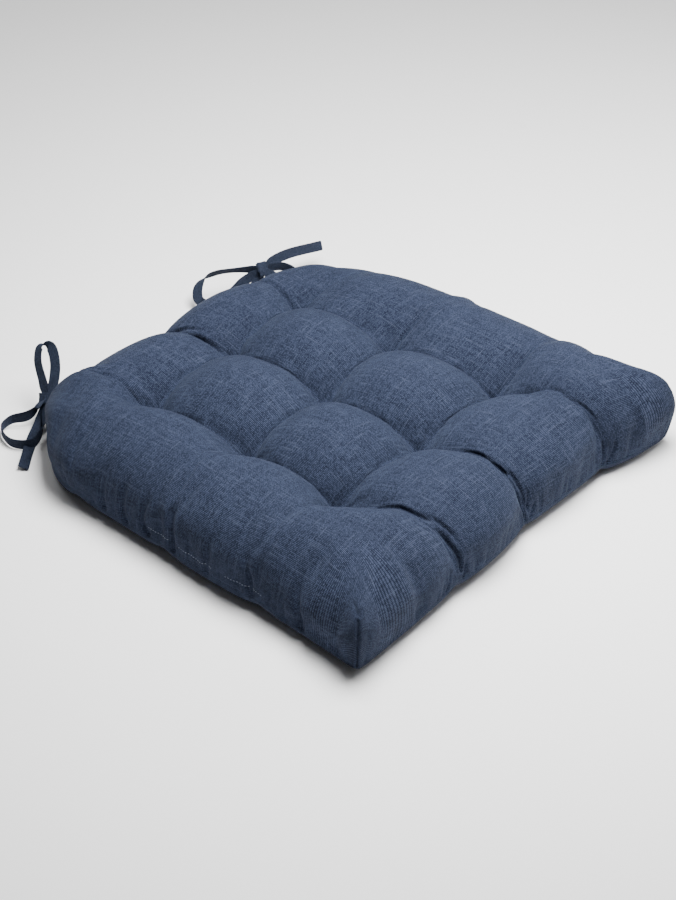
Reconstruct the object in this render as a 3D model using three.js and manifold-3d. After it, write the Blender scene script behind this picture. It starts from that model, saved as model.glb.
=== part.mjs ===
// A tufted seat cushion with two tied bows at its back corners, in millimetres.
// +Z is up, +Y points to the back of the seat, and the cushion lies on Z = 0.
// The cushion is one filled body: a top panel and a bottom panel sewn together along
// a seam low on the side, boxed at the two front corners and drawn through at nine tufts.
import * as THREE from "three";
import { mergeVertices } from "three/addons/utils/BufferGeometryUtils.js";
import Module from "manifold-3d";

const wasm = await Module();
wasm.setup();

// Heights of the filled body
const tuftHeight = 42;
const saddleHeight = 61;
const undersideTuftHeight = 20;
const undersideValleyHeight = 5;

// How the puffs swell between the tufts
const puffFullness = 0.72;
const valleyFullness = 0.45;
const sideBulge = 9;
const undersideRollStart = 0.87;
const undersideFlatness = 0.55;
const stepsPerPuff = 12;

// Where the thread draws the two panels together, front row first
const tufts = [
  [{ x: -119, y: -110 }, { x: 6, y: -111 }, { x: 131, y: -112 }],
  [{ x: -118, y: 10 }, { x: 6, y: 16 }, { x: 122, y: 26 }],
  [{ x: -126, y: 137 }, { x: 3, y: 148 }, { x: 114, y: 153 }],
];

// The seam from the front left corner to the right and on round. Each row is where a furrow
// meets it: z is its height, bow is how far it swings out on the way to the next row, saddle
// is how high the furrow climbs on its way out, and pinch how far it draws in the side, 0 to 1.
const seam = [
  { x: -248, y: -254, z: 9, bow: 2, saddle: 0, pinch: 0 },
  { x: -100, y: -248, z: 19, bow: 5, saddle: 68, pinch: 0.9 },
  { x: 21, y: -239, z: 19, bow: 4, saddle: 66, pinch: 1 },
  { x: 149, y: -242, z: 18, bow: 3, saddle: 68, pinch: 0.9 },
  { x: 243, y: -256, z: 9, bow: 0, saddle: 0, pinch: 0 },
  { x: 245, y: -118, z: 19, bow: 3, saddle: 80, pinch: 0.3 },
  { x: 242, y: 6, z: 20, bow: 3, saddle: 77, pinch: 0.3 },
  { x: 233, y: 110, z: 20, bow: 13, saddle: 76, pinch: 0.3 },
  { x: 186, y: 191, z: 20, bow: 12, saddle: 0, pinch: 0 },
  { x: 110, y: 224, z: 20, bow: 5, saddle: 68, pinch: 0.8 },
  { x: -12, y: 231, z: 20, bow: 5, saddle: 68, pinch: 0.8 },
  { x: -156, y: 232, z: 20, bow: 8, saddle: 82, pinch: 0.4 },
  { x: -213, y: 200, z: 20, bow: 12, saddle: 0, pinch: 0 },
  { x: -249, y: 130, z: 20, bow: 3, saddle: 72, pinch: 0.4 },
  { x: -250, y: 2, z: 20, bow: 3, saddle: 74, pinch: 0.4 },
  { x: -251, y: -124, z: 19, bow: 0, saddle: 78, pinch: 0.3 },
];

// The crown of each puff, front row first and left to right
const crowns = [
  [87, 87, 87, 95],
  [88, 88, 88, 85],
  [88, 88, 88, 84],
  [87, 83, 80, 70],
];

// How square the walls turn at each corner (2 is round) and how far its crown falls away
const corners = {
  frontLeft: { column: 0, row: 0, squareness: 6, drop: 20 },
  frontRight: { column: 3, row: 0, squareness: 6, drop: 14 },
  backLeft: { column: 0, row: 3, squareness: 2.4, drop: 6 },
  backRight: { column: 3, row: 3, squareness: 2.4, drop: 6 },
};

const puffs = 4;
const puffPitch = 125;
const seamLevel = 20;
const bulgeScale = 4 ** 4 / 3 ** 3;
const point = (x, y, z = 0) => new THREE.Vector3(x, y, z);
const mix = (a, b, t) => a + (b - a) * t;

// A point on the seam between row i and the next, t from 0 to 1
function seamPoint(i, t) {
  const from = seam[i];
  const to = seam[(i + 1) % seam.length];
  const along = point(to.x - from.x, to.y - from.y, to.z - from.z);
  const out = point(along.y, -along.x).normalize();
  const swing = from.bow * 4 * t * (1 - t);
  return point(from.x, from.y, from.z).addScaledVector(along, t).addScaledVector(out, swing);
}

// The seam row that a crossing sits on, when it lies on the seam; column and row run 0 to 4
function seamIndex(column, row) {
  if (row === 0) return column;
  if (column === puffs) return puffs + row;
  if (row === puffs) return 3 * puffs - column;
  return column === 0 ? 4 * puffs - row : -1;
}

// A point where two furrows cross, or where one meets the seam
function crossing(column, row) {
  const onSeam = seamIndex(column, row);
  if (onSeam >= 0) return seamPoint(onSeam, 0);
  const tuft = tufts[row - 1][column - 1];
  return point(tuft.x, tuft.y, seamLevel);
}

// A point on the line from one crossing to the next, to the right or to the back
function furrowPoint(column, row, direction, t) {
  if (direction === "right") {
    if (row === 0) return seamPoint(column, t);
    if (row === puffs) return seamPoint(3 * puffs - 1 - column, 1 - t);
    return crossing(column, row).lerp(crossing(column + 1, row), t);
  }
  if (column === puffs) return seamPoint(puffs + row, t);
  if (column === 0) return seamPoint(4 * puffs - 1 - row, 1 - t);
  return crossing(column, row).lerp(crossing(column, row + 1), t);
}

// A place inside a puff, seen from above; s and t run 0 to 1 and may pass the seam
function planPoint(column, row, s, t) {
  const front = furrowPoint(column, row, "right", s);
  const back = furrowPoint(column, row + 1, "right", s);
  const left = furrowPoint(column, row, "back", t);
  const right = furrowPoint(column + 1, row, "back", t);
  const flat = crossing(column, row).lerp(crossing(column + 1, row), s);
  const flatBack = crossing(column, row + 1).lerp(crossing(column + 1, row + 1), s);
  return front.lerp(back, t).add(left.lerp(right, s)).sub(flat.lerp(flatBack, t));
}

// One direction across a puff. side says which edge, if any, is the seam: there the rows
// follow a quarter round, or a squarer turn near a boxed corner, and height goes to 0.
function across(step, side, squareness = 2) {
  const even = step / stepsPerPuff;
  const outward = side === "low" ? 1 - even : even;
  const rising = !side || outward < 0.5;
  const rise = rising ? Math.sin(Math.PI * outward) : 1;
  const turn = Math.PI * (outward - 0.5);
  const place = rising
    ? mix(outward, (1 - Math.cos(Math.PI * outward)) / 2, 0.5)
    : 0.5 + 0.5 * Math.sin(turn) ** (2 / squareness);
  return {
    place: side === "low" ? 1 - place : place,
    swell: rise ** puffFullness,
    lift: rise ** valleyFullness,
    out: side ? place : 0,
    even: side ? outward : 0,
    height: rising ? 1 : outward === 1 ? 0 : Math.cos(turn) ** (2 / squareness),
  };
}

// How much of the height is left on the underside, 1 on the flat and 0 at the seam
function roll(out, start) {
  const past = Math.max(0, (out - start) / (1 - start));
  return Math.sqrt(Math.max(0, 1 - past * past));
}

// How far the side swells beyond the seam, 0 on the crown and at the seam, 1 at its fullest,
// which is halfway up
const bulgeAt = (height) => (1 - height * height) ** 3 * height * height * bulgeScale;

// A point of the top or bottom panel
function panelPoint(panel, column, row, i, j) {
  const smooth = THREE.MathUtils.smoothstep;
  const sideways = { 0: "left", 3: "right" }[column];
  const lengthways = { 0: "front", 3: "back" }[row];
  const edgeS = { left: "low", right: "high" }[sideways];
  const edgeT = { front: "low", back: "high" }[lengthways];
  const corner = Object.values(corners).find((c) => c.column === column && c.row === row);
  let s = across(i, edgeS);
  let t = across(j, edgeT);
  if (corner) {
    const squareS = mix(2, corner.squareness, smooth(t.even, 0.4, 0.95));
    const squareT = mix(2, corner.squareness, smooth(s.even, 0.4, 0.95));
    s = across(i, edgeS, squareS);
    t = across(j, edgeT, squareT);
  }
  const swell = s.swell * t.swell;
  const lift = s.lift + t.lift - s.lift * t.lift;

  if (panel === "bottom") {
    const height = roll(s.out, undersideRollStart) * roll(t.out, undersideRollStart);
    const furrow = mix(undersideTuftHeight, undersideValleyHeight, lift);
    const hollow = furrow * Math.max(0, 1 - swell / undersideFlatness);
    const plan = planPoint(column, row, s.place, t.place);
    return point(plan.x, plan.y, mix(plan.z, hollow, height));
  }

  // Between two furrows the side takes a little from each
  const onSide = (key, out, near, far, place) => {
    if (!out) return 0;
    if (corner) return near[key] || far[key];
    return mix(near[key], far[key], place);
  };
  const edgeColumn = sideways === "left" ? 0 : puffs;
  const edgeRow = lengthways === "front" ? 0 : puffs;
  const rowEnds = [seam[seamIndex(edgeColumn, row)], seam[seamIndex(edgeColumn, row + 1)]];
  const columnEnds = [seam[seamIndex(column, edgeRow)], seam[seamIndex(column + 1, edgeRow)]];
  const climb = (side, out, ends, place) =>
    side ? (onSide("saddle", side, ...ends, place) - saddleHeight) * smooth(out, 0, 0.6) : 0;
  const saddle =
    saddleHeight +
    climb(sideways, s.out, rowEnds, t.place) +
    climb(lengthways, t.out, columnEnds, s.place);
  const cornerness = corner ? (s.even * t.even) ** 3 : 0;
  const cap =
    mix(tuftHeight, saddle, lift) +
    (crowns[row][column] - saddle) * swell -
    (corner ? corner.drop * cornerness : 0);
  const height = s.height * t.height;

  const bulge = (bulgeAt(height) * sideBulge * (1 - cornerness / 2)) / puffPitch;
  const steepS = 1 - s.height ** 2;
  const steepT = 1 - t.height ** 2;
  const pinchS = onSide("pinch", sideways, ...rowEnds, t.place) * (1 - t.swell);
  const pinchT = onSide("pinch", lengthways, ...columnEnds, s.place) * (1 - s.swell);
  const pushS = bulge * (1 - pinchS) * (steepS / (steepS + steepT || 1));
  const pushT = bulge * (1 - pinchT) * (steepT / (steepS + steepT || 1));
  const signS = sideways === "left" ? -1 : 1;
  const signT = lengthways === "front" ? -1 : 1;
  const plan = planPoint(column, row, s.place + signS * pushS, t.place + signT * pushT);
  return point(plan.x, plan.y, mix(plan.z, cap, height));
}

function cushionGeometry() {
  const positions = [];
  const addTriangle = (a, b, c) => positions.push(...a, ...b, ...c);
  for (const panel of ["top", "bottom"]) {
    for (let column = 0; column < puffs; column += 1) {
      for (let row = 0; row < puffs; row += 1) {
        const grid = (i, j) => panelPoint(panel, column, row, i, j).toArray();
        for (let i = 0; i < stepsPerPuff; i += 1) {
          for (let j = 0; j < stepsPerPuff; j += 1) {
            const a = grid(i, j);
            const b = grid(i + 1, j);
            const c = grid(i + 1, j + 1);
            const d = grid(i, j + 1);
            const towardsTuft = i < stepsPerPuff / 2 === j < stepsPerPuff / 2;
            const pair = towardsTuft ? [[a, b, c], [a, c, d]] : [[a, b, d], [b, c, d]];
            for (const [p, q, r] of pair) {
              if (panel === "top") addTriangle(p, q, r);
              else addTriangle(p, r, q);
            }
          }
        }
      }
    }
  }
  const geometry = new THREE.BufferGeometry();
  geometry.setAttribute("position", new THREE.Float32BufferAttribute(positions, 3));
  return mergeVertices(geometry, 1e-3);
}

// The bows. Each row of a strand is a point on the middle of the tape, and the way that its
// width runs there. Every strand starts or ends inside the knot.
const tapeWidth = 12;
const tapeThickness = 1.6;
const stepsPerPoint = 5;

const onEdge = [0, 0, 1];
const leaning = [-0.1, -0.85, 0.5];
const facing = [0.45, -0.87, 0.2];
const flat = [0.72, -0.69, 0];
const tipped = [-0.25, -0.4, 0.88];
const rising = [0.7, 0, 0.7];
const alongLeftSeam = [0.87, 0.49, 0];
const alongRightSeam = [0.92, -0.4, 0];

const bows = {
  tie_left: {
    knot: { at: [-165, 258, 27], along: [0.45, 0.4, 0.8], wide: [0.67, -0.74, 0] },
    strands: {
      standingLoop: [
        { x: -165, y: 258, z: 27, wide: facing },
        { x: -160, y: 270, z: 40, wide: leaning },
        { x: -150, y: 286, z: 56, wide: leaning },
        { x: -140, y: 290, z: 66, wide: onEdge },
        { x: -136, y: 281, z: 66, wide: onEdge },
        { x: -141, y: 270, z: 58, wide: facing },
        { x: -153, y: 261, z: 42, wide: facing },
        { x: -165, y: 257, z: 27, wide: facing },
      ],
      lyingLoop: [
        { x: -165, y: 257, z: 27, wide: facing },
        { x: -171, y: 252, z: 19, wide: facing },
        { x: -193, y: 237, z: 8, wide: onEdge },
        { x: -212, y: 232, z: 7, wide: onEdge },
        { x: -224, y: 249, z: 7, wide: onEdge },
        { x: -215, y: 275, z: 8, wide: onEdge },
        { x: -200, y: 277, z: 10, wide: onEdge },
        { x: -187, y: 264, z: 15, wide: onEdge },
        { x: -165, y: 259, z: 27, wide: leaning },
      ],
      longEnd: [
        { x: -165, y: 258, z: 27, wide: facing },
        { x: -172, y: 258, z: 16, wide: facing },
        { x: -185, y: 255, z: 5, wide: flat },
        { x: -210, y: 240, z: 1.5, wide: flat },
        { x: -247, y: 212, z: 1.3, wide: flat },
      ],
      shortEnd: [
        { x: -165, y: 258, z: 27, wide: leaning },
        { x: -172, y: 259, z: 26, wide: leaning },
        { x: -182, y: 257, z: 23, wide: leaning },
      ],
      sewnEnd: [
        { x: -165, y: 258, z: 27, wide: [0.5, 0.4, 0.7] },
        { x: -167, y: 249, z: 25, wide: [0.75, 0.45, 0.4] },
        { x: -171, y: 239, z: 21, wide: alongLeftSeam },
        { x: -175.4, y: 233.6, z: 20, wide: alongLeftSeam },
      ],
    },
  },
  tie_right: {
    knot: { at: [173, 262, 27], along: [0.85, -0.5, 0.1], wide: [0.42, 0.7, 0.57] },
    strands: {
      lyingLoop: [
        { x: 173, y: 263, z: 27, wide: onEdge },
        { x: 152, y: 275, z: 30, wide: tipped },
        { x: 128, y: 292, z: 28, wide: tipped },
        { x: 115, y: 296, z: 24, wide: [0.4, -0.7, 0.6] },
        { x: 103, y: 293, z: 18, wide: facing },
        { x: 96, y: 284, z: 12, wide: facing },
        { x: 102, y: 275, z: 9, wide: [0.4, -0.4, 0.8] },
        { x: 122, y: 272, z: 10, wide: rising },
        { x: 148, y: 271, z: 17, wide: rising },
        { x: 173, y: 262, z: 27, wide: onEdge },
      ],
      longEnd: [
        { x: 173, y: 261, z: 28, wide: onEdge },
        { x: 188, y: 261, z: 31, wide: [-0.15, 0.5, 0.85] },
        { x: 208, y: 257, z: 33, wide: [0.1, 0.4, 0.9] },
        { x: 257, y: 245, z: 28, wide: [0.1, 0.4, 0.9] },
      ],
      smallLoop: [
        { x: 173, y: 262, z: 27, wide: onEdge },
        { x: 187, y: 258, z: 26, wide: onEdge },
        { x: 200, y: 252, z: 22, wide: [0.2, -0.4, 0.9] },
        { x: 206, y: 245, z: 15, wide: [0.4, -0.4, 0.8] },
        { x: 197, y: 240, z: 8, wide: onEdge },
        { x: 185, y: 252, z: 15, wide: onEdge },
        { x: 173, y: 262, z: 27, wide: onEdge },
      ],
      shortEnd: [
        { x: 173, y: 261, z: 27, wide: onEdge },
        { x: 165, y: 265, z: 20, wide: [0.8, -0.4, 0.45] },
        { x: 148, y: 259, z: 5, wide: [0.8, -0.5, 0.2] },
      ],
      sewnEnd: [
        { x: 173, y: 262, z: 27, wide: [0.5, -0.2, 0.8] },
        { x: 171, y: 248, z: 26, wide: [0.7, -0.3, 0.6] },
        { x: 166, y: 230, z: 21.5, wide: alongRightSeam },
        { x: 160.3, y: 215.8, z: 20, wide: alongRightSeam },
      ],
    },
  },
};

// A length of tape swept along its rows, with square cut ends
function tape(rows) {
  const middle = new THREE.CatmullRomCurve3(rows.map(({ x, y, z }) => point(x, y, z)));
  const lean = new THREE.CatmullRomCurve3(rows.map(({ wide }) => point(...wide)));
  const sections = (rows.length - 1) * stepsPerPoint;
  const positions = [];
  const indices = [];
  for (let k = 0; k <= sections; k += 1) {
    const centre = middle.getPoint(k / sections);
    const forward = middle.getTangent(k / sections);
    const wide = lean.getPoint(k / sections);
    wide.addScaledVector(forward, -wide.dot(forward)).normalize();
    const thick = new THREE.Vector3().crossVectors(forward, wide);
    for (const [a, b] of [[-1, -1], [1, -1], [1, 1], [-1, 1]]) {
      const rim = centre.clone()
        .addScaledVector(wide, (a * tapeWidth) / 2)
        .addScaledVector(thick, (b * tapeThickness) / 2);
      positions.push(rim.x, rim.y, rim.z);
    }
    if (k === sections) break;
    for (let side = 0; side < 4; side += 1) {
      const here = 4 * k + side;
      const next = 4 * k + ((side + 1) % 4);
      indices.push(here, next, next + 4, here, next + 4, here + 4);
    }
  }
  const last = 4 * sections;
  indices.push(0, 2, 1, 0, 3, 2, last, last + 1, last + 2, last, last + 2, last + 3);
  const geometry = new THREE.BufferGeometry();
  geometry.setAttribute("position", new THREE.Float32BufferAttribute(positions, 3));
  geometry.setIndex(indices);
  return geometry;
}

// The turn of tape round the middle of a bow
const knotReach = 7.4;
const knotDepth = 5;
const knotLength = 9;

function knotGeometry({ at, along, wide }) {
  const profile = [[0, -0.5], [0.8, -0.5], [0.96, -0.36], [1, 0], [0.96, 0.36], [0.8, 0.5], [0, 0.5]];
  const half = profile.map(([reach, along]) => new THREE.Vector2(reach, along * knotLength));
  const turned = new THREE.LatheGeometry(half, 24);
  const axis = new THREE.Vector3(...along).normalize();
  const side = new THREE.Vector3(...wide);
  side.addScaledVector(axis, -side.dot(axis)).normalize();
  const depth = new THREE.Vector3().crossVectors(side, axis);
  const place = new THREE.Matrix4().makeBasis(side, axis, depth).setPosition(...at);
  return turned.scale(knotReach, 1, knotDepth).applyMatrix4(place);
}

const welded = (geometry) => {
  geometry.deleteAttribute("normal");
  geometry.deleteAttribute("uv");
  return mergeVertices(geometry, 1e-4);
};

function toSolid(geometry) {
  const mesh = new wasm.Mesh({
    numProp: 3,
    vertProperties: new Float32Array(geometry.attributes.position.array),
    triVerts: new Uint32Array(geometry.index.array),
  });
  return new wasm.Manifold(mesh);
}

function fromSolid(solid) {
  const mesh = solid.getMesh();
  const geometry = new THREE.BufferGeometry();
  geometry.setAttribute("position", new THREE.BufferAttribute(mesh.vertProperties, 3));
  geometry.setIndex(new THREE.BufferAttribute(mesh.triVerts, 1));
  return geometry;
}

function bowGeometry({ knot, strands }) {
  let bow = toSolid(welded(knotGeometry(knot)));
  for (const rows of Object.values(strands)) bow = bow.add(toSolid(tape(rows)));
  return fromSolid(bow);
}

const cloth = { color: 0x435a80, roughness: 0.9, metalness: 0 };
const tapeCloth = { color: 0x2b3346, roughness: 0.85, metalness: 0 };

function namedMesh(name, geometry, finish) {
  const mesh = new THREE.Mesh(geometry, new THREE.MeshStandardMaterial(finish));
  mesh.name = name;
  return mesh;
}

const seatCushion = new THREE.Group();
seatCushion.add(namedMesh("cushion", cushionGeometry(), cloth));
for (const [name, bow] of Object.entries(bows)) {
  seatCushion.add(namedMesh(name, bowGeometry(bow), tapeCloth));
}

// The origin goes to the middle of everything, on the face it lies on
const middle = new THREE.Box3().setFromObject(seatCushion).getCenter(new THREE.Vector3());
for (const mesh of seatCushion.children) mesh.geometry.translate(-middle.x, -middle.y, 0);

export default seatCushion;
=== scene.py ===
import math

import bpy
import numpy as np
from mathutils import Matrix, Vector
from mathutils.bvhtree import BVHTree


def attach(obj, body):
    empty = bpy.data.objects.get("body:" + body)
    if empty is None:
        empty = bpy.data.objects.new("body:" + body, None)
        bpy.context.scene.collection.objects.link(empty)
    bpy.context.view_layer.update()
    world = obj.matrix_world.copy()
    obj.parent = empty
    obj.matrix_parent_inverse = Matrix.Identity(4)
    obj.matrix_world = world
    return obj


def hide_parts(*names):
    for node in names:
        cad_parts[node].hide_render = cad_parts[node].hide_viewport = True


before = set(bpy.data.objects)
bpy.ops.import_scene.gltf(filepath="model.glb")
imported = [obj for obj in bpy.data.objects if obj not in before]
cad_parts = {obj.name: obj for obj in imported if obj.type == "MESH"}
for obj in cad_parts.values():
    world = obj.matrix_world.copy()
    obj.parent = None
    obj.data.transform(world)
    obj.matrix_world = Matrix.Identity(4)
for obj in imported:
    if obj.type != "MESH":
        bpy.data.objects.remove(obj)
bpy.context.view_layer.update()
mm = 0.001
middle = np.array([1.0229, 19.7661, 0.0])  # where the part's origin lies in the cushion's own sizes


def report(text):
    print("cushion scene:", text)


# Camera and stage
view = {
    "azimuth": -48.24,
    "elevation": 36.61,
    "target": (-0.00102, -0.00187, 0.0),
    "distance": 2.312,
    "lens": 88.0,
    "sensor": 36,
    "shift": (0.0194, -0.0117),
    "clip": (0.05, 50),
}


def newPiece(name, data):
    piece = bpy.data.objects.new(name, data)
    bpy.context.scene.collection.objects.link(piece)
    return piece


def lookAt(holder, aim, azimuth, elevation, distance):
    # azimuth 0 is the front, 90 the right
    a, e = math.radians(azimuth), math.radians(elevation)
    back = Vector((math.sin(a) * math.cos(e), -math.cos(a) * math.cos(e), math.sin(e)))
    holder.location = Vector(aim) + back * distance
    holder.rotation_euler = back.to_track_quat("Z", "Y").to_euler()


def makeCamera():
    data = bpy.data.cameras.new("photoCamera")
    data.lens = view["lens"]
    data.sensor_width = view["sensor"]
    data.shift_x, data.shift_y = view["shift"]
    data.clip_start, data.clip_end = view["clip"]
    camera = newPiece("photoCamera", data)
    lookAt(camera, view["target"], view["azimuth"], view["elevation"], view["distance"])
    bpy.context.scene.camera = camera


studio = {
    "floorSize": 12.0,
    "floorColour": (0.93, 0.93, 0.93, 1),
    "floorRoughness": 0.9,
    "sky": (1.0, 1.0, 1.0),
    "skyStrength": 0.07,
    # direction of each soft box from the place it points at, its distance, size and power
    "softBoxes": {
        "back": {"aim": (0, 0, 0), "azimuth": 172, "elevation": 50,
                 "distance": 2.5, "size": 1.2, "power": 11},
        "top": {"aim": (0.13, -0.16, 0), "azimuth": 135, "elevation": 88,
                "distance": 1.05, "size": 0.7, "power": 46},
        "right": {"aim": (0, 0, 0), "azimuth": 62, "elevation": 20,
                  "distance": 1.3, "size": 0.8, "power": 6.5},
    },
}


def newFinish(name):
    finish = bpy.data.materials.new(name)
    finish.use_nodes = True
    return finish, finish.node_tree, finish.node_tree.nodes["Principled BSDF"]


def makeStudio():
    bpy.ops.object.select_all(action="DESELECT")
    bpy.ops.mesh.primitive_plane_add(size=studio["floorSize"])
    floor = bpy.context.active_object
    floor.name = "floor"
    finish, _, surface = newFinish("paleFloor")
    surface.inputs["Base Color"].default_value = studio["floorColour"]
    surface.inputs["Roughness"].default_value = studio["floorRoughness"]
    floor.data.materials.append(finish)

    world = bpy.context.scene.world or bpy.data.worlds.new("studioSky")
    bpy.context.scene.world = world
    world.use_nodes = True
    sky = world.node_tree.nodes["Background"]
    sky.inputs["Color"].default_value = (*studio["sky"], 1)
    sky.inputs["Strength"].default_value = studio["skyStrength"]

    for name, box in studio["softBoxes"].items():
        lamp = bpy.data.lights.new(name, "AREA")
        lamp.shape = "SQUARE"
        lamp.size = box["size"]
        lamp.energy = box["power"]
        lookAt(newPiece(name, lamp), box["aim"], box["azimuth"], box["elevation"], box["distance"])


# Node helpers
def addNode(tree, kind, inputs=None, **settings):
    made = tree.nodes.new(kind)
    for key, value in settings.items():
        setattr(made, key, value)
    for key, value in (inputs or {}).items():
        if isinstance(value, bpy.types.NodeSocket):
            tree.links.new(value, made.inputs[key])
        else:
            made.inputs[key].default_value = value
    return made


def calc(tree, operation, *values):
    return addNode(tree, "ShaderNodeMath", dict(enumerate(values)), operation=operation).outputs[0]


def blendTwo(tree, factor, a, b):
    return addNode(tree, "ShaderNodeMix", {0: factor, 2: a, 3: b}, data_type="FLOAT").outputs[0]


yarns = {
    "wander": 2.0,  # how many yarns wide a thread strays, over how many bends to the metre
    "bends": 14.0,
    "rowApart": 5.37,  # keeps each yarn on its own row of the noise
    "slub": (0.66, 0.8),  # the thickest stretches of a yarn, as a range of that noise
    "fleck": 0.5,  # how much single crossings differ in tone
    "tone": 0.8,  # how much whole yarns differ
    "toneStart": -0.15,
    "dive": 0.45,  # how far a yarn sinks beside the one that crosses it
}


def makeWeave():
    # a plain weave of uneven yarns: how light each yarn is, and how high it stands, which lifts the bump and
    # paints shade into the dips between yarns
    group = bpy.data.node_groups.new("linenWeave", "ShaderNodeTree")
    group.interface.new_socket("Place", in_out="INPUT", socket_type="NodeSocketVector")
    for name in ("Pitch", "Slub length"):
        group.interface.new_socket(name, in_out="INPUT", socket_type="NodeSocketFloat")
    for name in ("Tone", "Slub", "Height"):
        group.interface.new_socket(name, in_out="OUTPUT", socket_type="NodeSocketFloat")
    start = group.nodes.new("NodeGroupInput")
    end = group.nodes.new("NodeGroupOutput")
    wander = addNode(group, "ShaderNodeTexNoise", {
        "Vector": start.outputs["Place"], "Scale": yarns["bends"], "Detail": 1.0,
    })
    apart = addNode(group, "ShaderNodeSeparateXYZ", {"Vector": start.outputs["Place"]})
    shiftBy = addNode(group, "ShaderNodeSeparateColor", {"Color": wander.outputs["Color"]})
    u, v = apart.outputs["X"], apart.outputs["Y"]
    pitch, slub = start.outputs["Pitch"], start.outputs["Slub length"]
    across, along = (
        calc(group, "MULTIPLY_ADD", shiftBy.outputs[k], yarns["wander"], calc(group, "DIVIDE", place, pitch))
        for k, place in enumerate((u, v))
    )
    warp, weft = calc(group, "FLOOR", across), calc(group, "FLOOR", along)
    inWarp = calc(group, "SINE", calc(group, "MULTIPLY", calc(group, "FRACT", across), math.pi))
    inWeft = calc(group, "SINE", calc(group, "MULTIPLY", calc(group, "FRACT", along), math.pi))
    tones, slubs = [], []
    for yarn, run, offset in ((warp, v, 3.0), (weft, u, 71.0)):
        spot = addNode(group, "ShaderNodeCombineXYZ", {
            "X": calc(group, "MULTIPLY_ADD", yarn, yarns["rowApart"], offset),
            "Y": calc(group, "DIVIDE", run, slub),
        })
        noise = addNode(group, "ShaderNodeTexNoise", {
            "Vector": spot.outputs[0], "Scale": 1.0, "Detail": 1.0,
        }, noise_dimensions="2D")
        tones.append(noise.outputs[0])
        thin, thickest = yarns["slub"]
        thick = addNode(group, "ShaderNodeMapRange", {0: noise.outputs[0], 1: thin, 2: thickest})
        slubs.append(thick.outputs[0])
    over = calc(group, "PINGPONG", calc(group, "ADD", warp, weft), 1.0)
    cell = addNode(group, "ShaderNodeCombineXYZ", {"X": warp, "Y": weft})
    fleck = addNode(group, "ShaderNodeTexWhiteNoise", {"Vector": cell.outputs[0]}, noise_dimensions="2D")
    tone = blendTwo(group, over, tones[0], tones[1])
    tone = calc(group, "MULTIPLY_ADD", tone, yarns["tone"], yarns["toneStart"])
    tone = calc(group, "MULTIPLY_ADD", fleck.outputs["Value"], yarns["fleck"], tone)
    group.links.new(tone, end.inputs["Tone"])
    group.links.new(calc(group, "MAXIMUM", slubs[0], slubs[1]), end.inputs["Slub"])
    dive, stay = yarns["dive"], 1 - yarns["dive"]
    roundWarp = calc(group, "MULTIPLY", inWarp, calc(group, "MULTIPLY_ADD", inWeft, dive, stay))
    roundWeft = calc(group, "MULTIPLY", inWeft, calc(group, "MULTIPLY_ADD", inWarp, dive, stay))
    group.links.new(blendTwo(group, over, roundWarp, roundWeft), end.inputs["Height"])
    return group


bothCloths = {
    "specular": 0.08,
    "sheenRoughness": 0.45,
    "sheenTint": (0.55, 0.68, 1.0, 1),
    "patchScale": 16.0,
    # what makes a place lighter: the yarns' own tone, painted shade that darkens the dips between the yarns
    # where they stand low, and faint patches
    "toneShare": 0.55,
    "paintedGapShade": 0.66,
    "patchShare": 0.06,
    "lightStart": -0.12,
    "stops": (0.26, 0.48, 0.80),  # how light a place is at the shade, the middle and the light colour
    "bump": 0.8,
}
coverCloth = {
    "pitch": 0.0013,
    "slubLength": 0.034,
    "shade": (0.0026, 0.0038, 0.0085, 1),
    "middle": (0.0105, 0.0150, 0.0318, 1),
    "light": (0.0400, 0.0510, 0.0870, 1),
    "slubColour": (0.0560, 0.0670, 0.1030, 1),
    "slubShare": 0.24,
    "weaveDepth": 0.00035,
    "roughness": 0.86,
    "sheen": 0.05,
}
tapeCloth = {
    "pitch": 0.0009,
    "slubLength": 0.012,
    "shade": (0.005, 0.007, 0.013, 1),
    "middle": (0.011, 0.015, 0.028, 1),
    "light": (0.027, 0.034, 0.056, 1),
    "slubColour": (0.030, 0.040, 0.070, 1),
    "slubShare": 0.2,
    "weaveDepth": 0.0002,
    "roughness": 0.82,
    "sheen": 0.05,
}


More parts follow.
